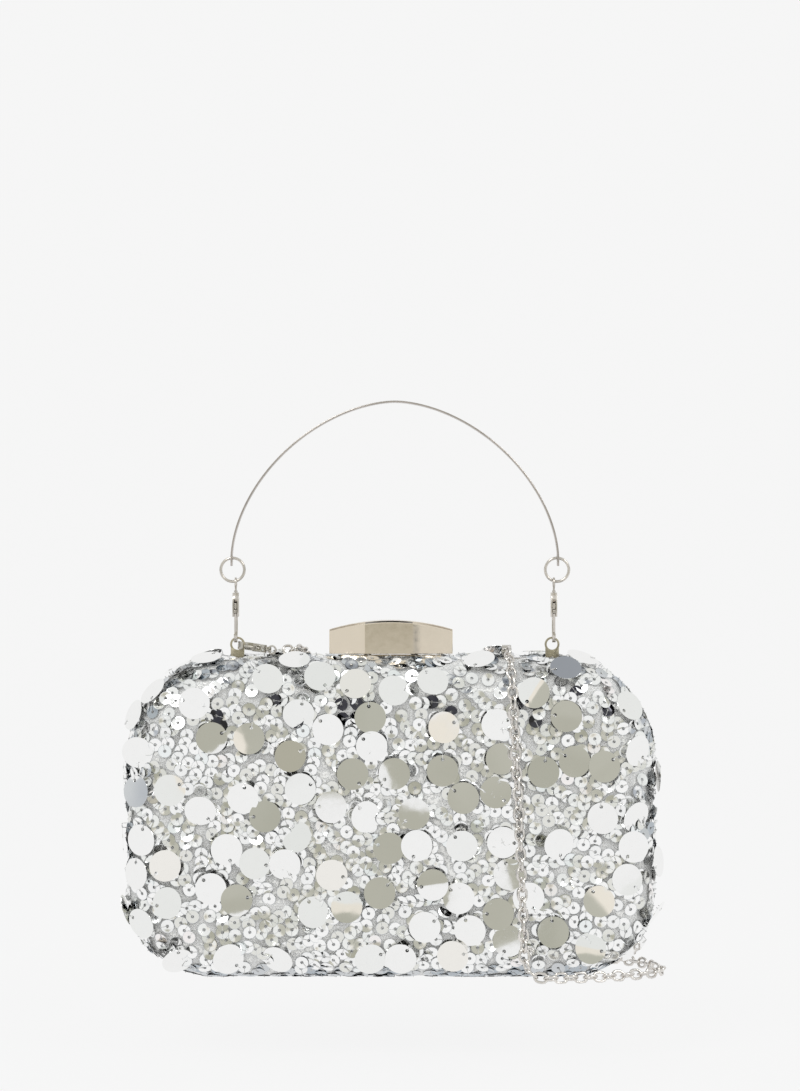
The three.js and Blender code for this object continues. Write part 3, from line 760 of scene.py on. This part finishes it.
def frame_band(name, side, material):
    """A half's metal frame: a lip round the seam with a flange inside, notched for the hinges
    and, at the back, for the two tabs."""
    lip, web = SEAM_GAP + LIP_DEPTH, SEAM_GAP + WEB_DEPTH
    section = [(0.35, SEAM_GAP), (FRAME_REACH, SEAM_GAP), (FRAME_REACH, web), (FRAME_LIP, web),
               (FRAME_LIP, lip), (0.2, lip), (0, lip - 0.25), (0, SEAM_GAP + 0.35)]
    band = loft(f"{name}_frame_band", [ring(inset, y, 0, side) for inset, y in section], True)
    cutters = [box_shape("c", (-69, 69), sided(side, -1, web + 0.1), (-1, 3))]
    for x in (-HINGE_X, HINGE_X):
        leaf_ends = (x - HINGE_NOTCH, x + HINGE_NOTCH)
        cutters.append(box_shape("c", leaf_ends, sided(side, -1, 1.35), (2.9, 6)))
    if side > 0:
        for x in (HANDLE_SIDE - TAB_X, HANDLE_SIDE + TAB_X):
            cutters.append(box_shape("c", (x - 2.6, x + 2.6), (-1, HANDLE_Y + 0.65), (103.2, 120)))
    cut(band, cutters)
    shade(band, 35)
    dress(band, material, f"{name}_half", (f"{name}_frame",))


def half(name, side, looks):
    """One half's frame, cover, moulded shell and lining, with a slot for the clasp at the back."""
    frame_band(name, side, looks["frame"])
    behind_lip, behind_web = SEAM_GAP + LIP_DEPTH + CLEARANCE, SEAM_GAP + WEB_DEPTH + CLEARANCE
    shell_inset = COVER + CLEARANCE
    lining_inset = shell_inset + SHELL + CLEARANCE
    layers = (("fabric", FABRIC_INSET, COVER - FABRIC_INSET, behind_lip, "sequin_fabric", "cover"),
              ("moulded_shell", shell_inset, SHELL, behind_web, "moulded_shell", "shell"),
              ("satin_lining", lining_inset, LINING, behind_web, "satin_lining", "lining"))
    for label, inset, thickness, edge, slot, node in layers:
        layer = skin(f"{name}_{label}", inset, thickness, edge, side)
        if side > 0:
            cut(layer, [box_shape("c", (-10, 10), (3.7, 5.9), (95, 120))])
        shade(layer, 50)
        dress(layer, looks[node], f"{name}_half", (f"{name}_{node}",))


# ---- sequins ----
FACE_HALF_WIDTH = HALF_WIDTH - EDGE_RADIUS
FACE_LOW, FACE_HIGH = EDGE_RADIUS, HEIGHT - EDGE_RADIUS
ROUND_SPAN = 12.6  # mean radius of the edge's rounding
ROUND_LENGTH = ROUND_SPAN * math.pi / 2


def pattern_place(u, v, side):
    """Where a point of the flattened cover lies: its place, outward normal, distance past the
    face's edge, and how much the pattern is drawn together there."""
    top = v > HEIGHT / 2
    radius = (TOP_CORNER if top else BOTTOM_CORNER) - EDGE_RADIUS
    dx = abs(u) - (FACE_HALF_WIDTH - radius)
    dz = v - (FACE_HIGH - radius) if top else FACE_LOW + radius - v
    sx, sz = math.copysign(1, u), (1 if top else -1)
    if dx > 0 and dz > 0:
        far = math.hypot(dx, dz)
        nx, nz, past = sx * dx / far, sz * dz / far, far - radius
    elif dx - radius > dz - radius:
        nx, nz, past = sx, 0.0, dx - radius
    else:
        nx, nz, past = 0.0, sz, dz - radius
    middle = HEIGHT / 2
    if past <= 0:
        shrink = 1 - max(abs(u) / FACE_HALF_WIDTH, abs(v - middle) / (FACE_HIGH - middle))
        y = HALF_DEPTH - FACE_DOME * (1 - shrink) ** 2
        return np.array((u, side * y, v)), np.array((0.0, side, 0.0)), past, 1.0
    angle = min(past / ROUND_SPAN, math.pi / 2)
    flat = max(past - ROUND_LENGTH, 0)
    depth = HALF_DEPTH - FACE_DOME - SIDE_WALL
    out = EDGE_RADIUS * math.sin(angle)
    place = np.array((u - nx * past + nx * out, side * (SIDE_WALL + depth * math.cos(angle) - flat),
                      v - nz * past + nz * out))
    normal = np.array((nx * math.sin(angle), side * math.cos(angle), nz * math.sin(angle)))
    drawn = (radius + out) / (radius + past) if dx > 0 and dz > 0 else 1.0
    return place, normal, past, drawn


def unit(v):
    return v / np.linalg.norm(v)


def tilted(normal, degrees, rng):
    """The normal leaned over by a random angle with that spread."""
    a = rng.uniform(0, 2 * math.pi)
    lean = math.tan(math.radians(min(abs(rng.gauss(0, 1)) * degrees * 1.25, 34)))
    first = unit(np.cross(normal, (0.2, 0.5, 0.9)))
    second = np.cross(normal, first)
    return unit(normal + lean * (math.cos(a) * first + math.sin(a) * second))


class Grid:
    """Finds placed points near a place."""

    def __init__(self, size):
        self.size, self.cells = size, {}

    def key(self, p):
        return tuple(int(math.floor(c / self.size)) for c in p)

    def add(self, p):
        self.cells.setdefault(self.key(p), []).append(p)

    def near(self, p, distance, but=None):
        k = self.key(p)
        for i in (-1, 0, 1):
            for j in (-1, 0, 1):
                for m in (-1, 0, 1):
                    for q in self.cells.get((k[0] + i, k[1] + j, k[2] + m), ()):
                        if q is not but and np.linalg.norm(q - p) < distance:
                            return True
        return False


def circle(radius, count, middle=(0, 0), start=0.0, way=1):
    points = (turned(radius, start + way * 2 * math.pi * i / count) for i in range(count))
    return [(middle[0] + x, middle[1] + y) for x, y in points]


def disc_shape():
    """A flat round sequin, with a small hole near its rim."""
    hole_middle = Vector((0, HOLE_OUT))
    rims = circle(DISC_RADIUS, 36), circle(HOLE, 10, hole_middle, way=-1)
    flat = rims[0] + rims[1] + circle(2.5, 8, start=0.3) + [(0, 0)]
    loops = range(36), range(36, 46)
    edges = [(i, loop[k - len(loop) + 1]) for loop in loops for k, i in enumerate(loop)]
    points, _, triangles, *_ = delaunay_2d_cdt([Vector(p) for p in flat], edges, [], 0, 1e-6)
    count = len(points)
    verts = [(p.x, p.y, z) for z in (0.07, -0.07) for p in points]
    faces = []
    for triangle in triangles:
        centre = sum((points[i] for i in triangle), Vector((0, 0))) / 3
        if (centre - hole_middle).length > HOLE:
            faces += [tuple(triangle), tuple(i + count for i in reversed(triangle))]
    faces += [(i, i + count, j + count, j) for i, j in edges]
    return np.array(verts), faces


CUP_SIDES = 12
CUP_SECTION = [(0.5, 0.0), (0.62, 0.02), (1.5, 0.03), (CUP_RADIUS - 0.14, 0.15), (CUP_RADIUS, 0.15),
               (1.5, -0.04)]
SHADED_EDGE_BANDS = (0, 3)  # the bands of the section at the hole's rim and at the outer rim, given painted shade


def cup_shape():
    """A small cupped sequin with a hole in its middle, its faces band by band."""
    verts = [(x, y, height) for radius, height in CUP_SECTION for x, y in circle(radius, CUP_SIDES)]
    faces = []
    for k in range(len(CUP_SECTION)):
        m = (k + 1) % len(CUP_SECTION)
        for i in range(CUP_SIDES):
            j = (i + 1) % CUP_SIDES
            faces.append((k * CUP_SIDES + i, k * CUP_SIDES + j, m * CUP_SIDES + j, m * CUP_SIDES + i))
    return np.array(verts), faces


def cup_face_tones(tone):
    """The cut edges get painted shade, a dark outline round the hole and the rim."""
    bands = [max(tone, RIM_SHADE_TONE) if k in SHADED_EDGE_BANDS else tone for k in range(len(CUP_SECTION))]
    return [band for band in bands for _ in range(CUP_SIDES)]


def kept_clear(place, reach):
    """Whether a sequin with that reach would foul the clasp, the tabs or the strap's claws. The
    large discs also keep off the slopes in front of them, where they would stand in view."""
    x, y, z = place
    if z < CLASP_ZONE_LOW:
        return False
    from_tab = abs(abs(x - HANDLE_SIDE) - TAB_X)
    large = reach > CUP_RADIUS
    return (
        # the press bar: its back, its front, and the slope before it
        (abs(x) < 17.5 + reach and 0 < y < 7.8 + reach)
        or (abs(x) < 21 + reach and -6 - reach < y < -2.5 + reach)
        or (large and abs(x) < 21.5 + reach and -17 < y < 7.6 + reach * 0.8)
        # the tabs with their clips, and the slope before them
        or (from_tab < 3.2 + reach and -7 - reach < y < 4.5 + reach)
        or (large and from_tab < 4 + reach and -17 < y < 0)
        # the strap's left claw and its rim claw
        or (-53 - reach < x < -34.5 + reach and -2.6 - reach < y < 4 + reach)
        or (abs(x - 39) < 2.4 + reach and -14.5 - reach < y < 0)
    )


def under_chain(place, side):
    """Whether the chain hangs over this place: down the front at a slight slant, or down the back."""
    x, _, z = place
    line = 40.3 + (94 - z) * 0.047 if side < 0 else -28.3
    return abs(x - line) < 7 and z < 101


def oriented(shape, centre, normal, along):
    across = np.cross(normal, along)
    return shape @ np.array([along, across, normal]) + centre


def cup_tone(place, past, rng):
    """Most are silver; more get painted shade down the case's sides, all do along its bottom, and a few
    black ones lie near the top.
    """
    if 84 < place[2] < 98 and past < 5 and rng.random() < 0.16:
        return BLACK_TONE
    # painted shadow along the bottom, where the case meets the floor
    if place[2] < 4:
        return rng.uniform(0.9, PAINTED_SHADE_TONES[1])
    # painted shade on the curve round the face, more often the further round it
    if rng.random() < min(max((past - 6) / 14, 0), 1) * 0.4:
        return rng.uniform(*PAINTED_SHADE_TONES)
    return SILVER_TONES * rng.random()


def disc_spots(side, rng):
    """Large discs at random, none closer than DISC_SPACING."""
    grid, spots = Grid(DISC_SPACING), []
    margin, lowest, furthest = 22, 5.5, 20.6
    reach = FACE_HALF_WIDTH + margin
    for _ in range(60000):
        if len(spots) == DISC_COUNT:
            break
        u, v = rng.uniform(-reach, reach), rng.uniform(FACE_LOW - margin, FACE_HIGH + margin)
        place, normal, past, drawn = pattern_place(u, v, side)
        if past > furthest or rng.random() > drawn or place[2] < lowest:
            continue
        if kept_clear(place, DISC_RADIUS * 0.9) or grid.near(place, DISC_SPACING):
            continue
        grid.add(place)
        spots.append((place, normal, past))
    return spots


DISC_STITCH = [(0, 3.6, -1.4), (0, 3.75, 0.22), (0, 4.6, 0.24), (0, 5.35, 0.12), (0, 5.3, -1.5)]
CUP_STITCH = [(0, 0, -0.2), (0.1, 0, 0.16), (1.3, 0, 0.2), (2.35, 0, 0.48), (2.7, 0, 0.1)]


def laid(shape, centre, facing, along, floor):
    """The shape, placed and kept above the floor that the case stands on."""
    placed = oriented(np.array(shape, float), centre, facing, along)
    placed[:, 2] = np.maximum(placed[:, 2], floor)
    return placed


def add_discs(side, discs, threads, rng):
    """Large discs, each leaning its own way and a little bowed, pressed flat under the chain."""
    disc, faces = disc_shape()
    for place, normal, past in disc_spots(side, rng):
        pressed = under_chain(place, side)
        lift = 1.3 if pressed else rng.uniform(1.8, 2.7)
        lean = 3 if pressed else (9 if past < 4 else 12 if past < 14 else 8)
        facing = tilted(unit(normal + np.array((0, 0, 0.045))), lean, rng)
        upright = abs(facing[2]) < 0.9
        level = unit(np.cross(facing, (0.0, 0, 1.0)) if upright else np.array((1.0, 0, 0)))
        spin = rng.uniform(-math.pi, math.pi)
        along = unit(math.cos(spin) * level + math.sin(spin) * np.cross(facing, level))
        bowed = disc.copy()
        bowed[:, 2] -= rng.uniform(-0.10, 0.22) * (disc[:, 0] / DISC_RADIUS) ** 2
        bowed[:, 2] += rng.uniform(-0.10, 0.10) * (disc[:, 1] / DISC_RADIUS) ** 2
        centre = place + (lift - FABRIC_INSET) * normal
        discs.add(laid(bowed, centre, facing, along, 0.15), faces, rng.random())
        threads.add(*tube_mesh(laid(DISC_STITCH, centre, facing, along, 0.15), 0.11, 4))


def add_cups(side, cups, threads, rng):
    """Small cups in short overlapping strings that wander over the cover."""
    cup, faces = cup_shape()
    grid = Grid(CUP_GAP + 0.3)
    margin, furthest = 24, 24.4
    reach = FACE_HALF_WIDTH + margin
    tries = count = 0
    while count < CUP_COUNT and tries < 9000:
        tries += 1
        u, v = rng.uniform(-reach, reach), rng.uniform(FACE_LOW - margin, FACE_HIGH + margin)
        heading = rng.uniform(0, 2 * math.pi)
        bend = rng.gauss(0, 0.22)
        last = None
        for _ in range(rng.randint(3, 13)):
            place, normal, past, drawn = pattern_place(u, v, side)
            if past > furthest or (last is None and rng.random() > drawn):
                break
            if kept_clear(place, CUP_RADIUS) or grid.near(place, CUP_GAP, last):
                break
            grid.add(place)
            ahead = unit(np.cross(normal, (math.sin(heading), 0.15, math.cos(heading))))
            below = normal[2] < -0.7  # under the case, where the cups lie flat
            facing = unit(tilted(normal, 1 if below else 6, rng) - (0 if below else 0.23) * ahead)
            ahead = unit(ahead - facing * ahead.dot(facing))
            lift = 0.05 if below else rng.uniform(0.45, 0.65)
            centre = place + (lift - FABRIC_INSET) * normal
            tones = cup_face_tones(cup_tone(place, past, rng))
            part = "right" if place[0] > 0 else "left"
            cups[part].add(laid(cup, centre, facing, ahead, 0.08), faces, tones=tones)
            threads.add(*tube_mesh(laid(CUP_STITCH, centre, facing, ahead, 0.1), 0.09, 3))
            count += 1
            last = place
            heading += bend + rng.gauss(0, 0.25)
            shift = CUP_STEP / max(drawn, 0.7)
            u += shift * math.cos(heading)
            v += shift * math.sin(heading)


def sequins(name, side, looks, rng):
    """A half's sequins and their stitches; the cups are two pieces, to keep each a fair size."""
    body = f"{name}_half"
    discs, threads = Batch(), Batch()
    cups = {"left": Batch(), "right": Batch()}
    add_discs(side, discs, threads, rng)
    add_cups(side, cups, threads, rng)
    discs.piece(f"{name}_disc_sequins", looks["disc"], body, "sequin_fabric", angle=40)
    for part, batch in cups.items():
        batch.piece(f"{name}_cup_sequins_{part}", looks["cup"], body, "sequin_fabric", angle=50)
    threads.piece(f"{name}_sequin_threads", looks["thread"], body, "sequin_fabric")


# ---- clasp and handle ----
def bar_faces(stations, corners):
    """Faces of a bar whose stations are rings of that many corners, with its two ends."""
    faces = []
    for i in range(stations - 1):
        for k in range(corners):
            m = (k + 1) % corners
            near, far = corners * i, corners * (i + 1)
            faces.append((near + k, near + m, far + m, far + k))
    return faces + [tuple(range(corners)), tuple(corners * (stations - 1) + k for k in range(corners))]


def clasp_knob(material):
    """The press bar: a flat front facet between two that taper back, under a low arch, with a
    skirt in front that hides the gap over the base plate."""
    half_length, deep, thin = 20.9, 6.0, 3.0
    low, skirt, end_top, top = 109.1, 108.35, 116.6, 119.7
    left, right = -8.7, 7.3  # the flat facet's ends
    ease = 0.75
    stations = [-half_length, -17.5, -14, -11, left, -5.5, -2.8, 0, 2.8, 5.2, right, 10.5, 14, 17.5,
                half_length]
    verts = []
    for x in stations:
        z = end_top + (top - end_top) * (1 - (x / half_length) ** 2)
        past = max(left - x, x - right, 0)
        d = deep + (thin - deep) * past / (half_length - (right if x > 0 else -left))
        section = [(-d, skirt), (-d, z - ease), (ease - d, z), (d - ease, z), (d, z - ease), (d, low),
                   (1.1 - d, low), (0.7 - d, skirt)]
        verts += [(x, y, height) for y, height in section]
    knob = bare("clasp_press_bar", verts, bar_faces(len(stations), 8))
    outward(knob)
    bevel(knob, 0.16, 9)
    shade(knob, 8)
    dress(knob, material, "clasp", ("clasp_knob",))


def butt_ring(name, centre, radius, wire, gap, material):
    """A wire ring that faces front, with its butt joint, a gap in degrees, at the top."""
    steps = 64
    line = []
    for i in range(steps + 1):
        a = math.radians(-90 + gap / 2 + (360 - gap) * i / steps)
        line.append(np.array(centre) + radius * np.array((math.cos(a), 0, -math.sin(a))))
    ring_wire = Batch()
    ring_wire.add(*tube_mesh(line, wire, 14))
    return ring_wire.piece(f"link_{name}", material, name, "silver_metal", (name,), 50)


def handle(material):
    """A flat band: two short upright feet, each with a hole, and one full arch between them."""
    low, high = box_mm("handle_band")
    pivot, hole, hole_x = 140.75, 1.15, 55.5
    reach, foot = float(high[0] - low[0]) / 2, float(low[2])
    rise, thick, broad = float(high[2]) - pivot, 0.65, 4.6
    leg = [(reach, foot), (reach, (foot + pivot) / 2), (reach, pivot)]
    line = list(leg)
    for i in range(1, 160):
        across, up = turned(1, math.pi * i / 160)
        line.append((math.copysign(reach * abs(across) ** (2 / HANDLE_FULLNESS), across),
                     pivot + rise * up ** (2 / HANDLE_FULLNESS)))
    line += [(-x, z) for x, z in reversed(leg)]
    line = np.array(line)
    ahead = np.gradient(line, axis=0)
    ahead /= np.linalg.norm(ahead, axis=1)[:, None]
    inward = np.column_stack([-ahead[:, 1], ahead[:, 0]])
    section = [(0.0, 0.94), (0.12, 1.0), (0.53, 1.0), (thick, 0.94),
               (thick, -0.94), (0.53, -1.0), (0.12, -1.0), (0.0, -0.94)]
    verts = []
    for (x, z), (nx, nz) in zip(line, inward):
        verts += [(HANDLE_SIDE + x + nx * t, HANDLE_Y + s * broad / 2, z + nz * t) for t, s in section]
    band = bare("handle_arch", verts, bar_faces(len(line), len(section)))
    outward(band)
    cutters = []
    for x in (HANDLE_SIDE - hole_x, HANDLE_SIDE + hole_x):
        bar = tube_mesh([(x - 2, HANDLE_Y, pivot), (x + 2, HANDLE_Y, pivot)], hole, 28)
        cutters.append(bare("c", *bar))
    cut(band, cutters)
    bevel(band, 0.08, 40, 1)
    shade(band, 40)
    dress(band, material, "handle", ("handle_band",))


def swivel_eye(name, x, material):
    """The eye on a clip's swivel: a small ring, its stem, and two collars on the stem."""
    base, middle, radius = 113.6, 18.7, 1.55
    eye = Batch()
    around = circle(radius, 32, (HANDLE_Y, base + middle))
    eye.add(*tube_mesh([(x, y, z) for y, z in around], 0.4, 12, closed=True))
    for thickness, low, high in ((0.36, 13.4, 17.3), (0.6, 13.55, 13.85), (0.62, 15.5, 16.1)):
        eye.add(*tube_mesh([(x, HANDLE_Y, base + low), (x, HANDLE_Y, base + high)], thickness, 20))
    eye.piece(f"swivel_loop_{name}", material, f"clip_{name}", "silver_metal",
              (f"swivel_eye_{name}",), 40)


def hardware(looks):
    """The clasp, handle, tabs, clips and rings; the CAD parts left showing become plain steel."""
    clasp_knob(looks["champagne"])
    handle(looks["band"])
    softened("clasp_base", looks["champagne"], 0.08)
    for name, way in (("left", -1), ("right", 1)):
        softened(f"tab_{name}", looks["tab"], 0.12)
        softened(f"clip_body_{name}", looks["clip"], 0.12)
        softened(f"clip_lever_{name}", looks["clip"], 0.1)
        centre = (HANDLE_SIDE + way * 55.2, HANDLE_Y, 136.75)
        butt_ring(f"ring_{name}", centre, 4.0, 0.5, 1.6, looks["clip"])
        swivel_eye(name, HANDLE_SIDE + way * (TAB_X + 0.6), looks["clip"])
    for obj in frame["nodes"].values():
        if not obj.hide_render:
            obj.material_slots[0].material = looks["steel"]


DISC_STOPS = [
    (0, (0.93, 0.93, 0.925)), (0.80, (0.89, 0.895, 0.885)), (0.94, (0.90, 0.88, 0.84)),
]
# tones from SILVER_TONES up are painted shade in grey and blue-grey, and the last stop is for the black
# cups
CUP_STOPS = [
    (0, (0.97, 0.97, 0.965)), (0.45, (0.92, 0.925, 0.92)), (0.66, (0.94, 0.91, 0.90)),
    (0.68, (0.89, 0.92, 0.92)), (0.71, (0.80, 0.80, 0.76)), (SILVER_TONES, (0.62, 0.64, 0.66)),
    (0.93, (0.46, 0.50, 0.54)), (0.985, (0.04, 0.04, 0.05)),
]


def main():
    rng = random.Random(1123)
    camera()
    silver = metal("polished_nickel", (0.80, 0.77, 0.735), (0.66, 0.635, 0.605), 0.16)
    cast = metal("claw_nickel", (0.58, 0.55, 0.49), (0.32, 0.305, 0.265), 0.16)
    strap(silver, cast, rng)
    studio()
    looks = {
        "champagne": metal("champagne_nickel", (0.775, 0.69, 0.573), (0.76, 0.675, 0.558), 0.12, 500,
                           0.0000002),
        "steel": metal("plain_steel", (0.60, 0.60, 0.60), (0.48, 0.48, 0.49), 0.32),
        "band": metal("handle_nickel", (0.52, 0.48, 0.45), (0.42, 0.39, 0.36), 0.22),
        "clip": metal("clip_nickel", (0.68, 0.64, 0.59), (0.54, 0.51, 0.47), 0.2),
        "tab": metal("tab_nickel", (0.50, 0.455, 0.345), (0.42, 0.385, 0.29), 0.3),
        "frame": metal("frame_nickel", (0.80, 0.78, 0.76), (0.66, 0.65, 0.63), 0.2),
        "disc": sequin_film("disc_film", 0.04, DISC_STOPS, 0.000004),
        "cup": sequin_film("cup_film", 0.12, CUP_STOPS, 0.000006),
        "thread": matte("clear_thread", (0.75, 0.75, 0.74), (0.62, 0.62, 0.62), 0.35, 2000, 0.00002),
        "cover": mesh_fabric(),
        "shell": matte("grey_resin", (0.42, 0.42, 0.41), (0.34, 0.34, 0.335), 0.6, 700, 0.00006),
        "lining": satin(),
    }
    for name, side in (("back", 1), ("front", -1)):
        half(name, side, looks)
        sequins(name, side, looks, rng)
    hardware(looks)


main()
